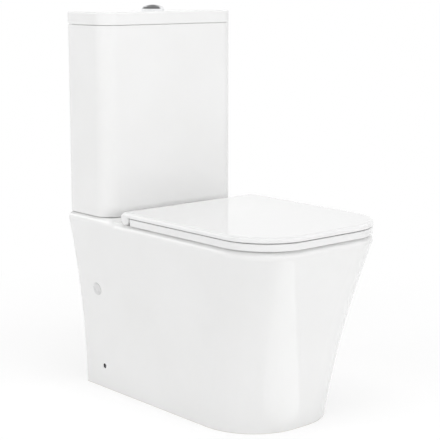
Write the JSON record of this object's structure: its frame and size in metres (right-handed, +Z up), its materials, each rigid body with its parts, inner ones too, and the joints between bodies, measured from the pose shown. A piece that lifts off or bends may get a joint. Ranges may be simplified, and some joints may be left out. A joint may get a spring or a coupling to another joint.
{
  "type": "close coupled toilet",
  "caption": "Close coupled toilet: flared skirted china pan, cistern with lifting lid and domed push buttons, wrap-over seat and cover on soft-close hinges, flush and fill valves inside.",
  "frame": {"origin": "on the floor, midway between the wall plane and the front of the rim, on the centre plane", "axes": "+Z up, front faces -Y, +X to the right seen from the front"},
  "size_m": [0.3712, 0.62, 0.8407],
  "materials": {
    "china": "white glaze",
    "seat_white": "white gloss",
    "white_plastic": "white moulded",
    "chrome": "polished",
    "steel": "zinc plated",
    "blue_plastic": "moulded",
    "grey_plastic": "moulded",
    "black_rubber": "soft",
    "dark_nylon": "moulded",
    "clear_rubber": "soft"
  },
  "bodies": {
    "pan": {"pan": "china", "bowl": "china", "trapway": "china", "cistern": "china", "hinge_posts": "chrome", "hinge_pins": "steel", "seat_studs": "steel", "seat_cone_washers": "black_rubber", "seat_wing_nuts": "white_plastic", "cistern_pads": "black_rubber", "doughnut_seal": "black_rubber", "coupling_bolts": "steel", "coupling_cone_washers": "black_rubber", "coupling_plate_washers": "steel", "coupling_wing_nuts": "steel", "valve_base": "white_plastic", "valve_gasket": "black_rubber", "valve_backnut": "white_plastic", "valve_tower": "white_plastic", "lever_pins": "steel", "fill_valve_body": "white_plastic", "inlet_plug": "white_plastic", "inlet_gaskets": "black_rubber", "inlet_backnuts": "white_plastic", "fill_head": "grey_plastic", "fill_lever_pin": "steel", "side_caps": "white_plastic", "side_bushes": "dark_nylon", "side_screws": "steel", "floor_brackets": "steel"},
    "seat": {"seat_ring": "seat_white", "seat_bumpers": "clear_rubber", "seat_damper": "grey_plastic"},
    "cover": {"seat_cover": "seat_white", "cover_bumpers": "clear_rubber", "cover_damper": "grey_plastic"},
    "lid": {"cistern_lid": "china", "button_bezel": "chrome", "button_nut": "white_plastic", "full_button_spring": "steel", "half_button_spring": "steel"},
    "full_button": {"full_flush_button": "chrome", "full_push_rod": "grey_plastic"},
    "half_button": {"half_flush_button": "chrome", "half_push_rod": "grey_plastic"},
    "full_lever": {"full_flush_lever": "blue_plastic"},
    "half_lever": {"half_flush_lever": "blue_plastic"},
    "core": {"valve_core": "blue_plastic", "valve_seal": "black_rubber", "core_float": "grey_plastic"},
    "float": {"fill_float": "grey_plastic", "float_rod": "white_plastic"},
    "fill_lever": {"fill_lever": "blue_plastic"}
  },
  "joints": [
    {"name": "seat_hinge", "type": "hinge", "parent": "pan", "child": "seat", "pos_m": [0, 0.114, 0.4045], "axis": [1, 0, 0], "range_deg": [-94, 0]},
    {"name": "cover_hinge", "type": "hinge", "parent": "seat", "child": "cover", "pos_m": [0, 0.114, 0.4045], "axis": [-1, 0, 0], "range_deg": [0, 94]},
    {"name": "lid_lift", "type": "slide", "parent": "pan", "child": "lid", "axis": [0, 0, 1], "range_m": [0, 0.16]},
    {"name": "full_flush", "type": "slide", "parent": "lid", "child": "full_button", "axis": [0, 0, -1], "range_m": [0, 0.006], "stiffness_N_per_m": 250, "springref_m": -0.006, "deforming": ["full_button_spring"]},
    {"name": "half_flush", "type": "slide", "parent": "lid", "child": "half_button", "axis": [0, 0, -1], "range_m": [0, 0.006], "stiffness_N_per_m": 250, "springref_m": -0.006, "deforming": ["half_button_spring"]},
    {"name": "full_lever_turn", "type": "hinge", "parent": "pan", "child": "full_lever", "pos_m": [-0.029, 0.243, 0.6725], "axis": [0, 1, 0], "range_deg": [0, 24.6]},
    {"name": "half_lever_turn", "type": "hinge", "parent": "pan", "child": "half_lever", "pos_m": [0.029, 0.243, 0.6725], "axis": [0, -1, 0], "range_deg": [0, 24.6]},
    {"name": "core_lift", "type": "slide", "parent": "pan", "child": "core", "axis": [0, 0, 1], "range_m": [0, 0.0117]},
    {"name": "float_rise", "type": "slide", "parent": "pan", "child": "float", "axis": [0, 0, 1], "range_m": [0, 0.018]},
    {"name": "fill_lever_turn", "type": "hinge", "parent": "pan", "child": "fill_lever", "pos_m": [0.133, 0.243, 0.682], "axis": [0, 1, 0], "range_deg": [0, 30.8]}
  ],
  "couplings": [
    {"joint": "full_lever_turn", "follows": "full_flush", "rad_per_m": 71.429},
    {"joint": "core_lift", "follows": "full_flush", "ratio": 1.9167},
    {"joint": "half_lever_turn", "follows": "half_flush", "rad_per_m": 71.429},
    {"joint": "fill_lever_turn", "follows": "float_rise", "rad_per_m": 29.767}
  ]
}
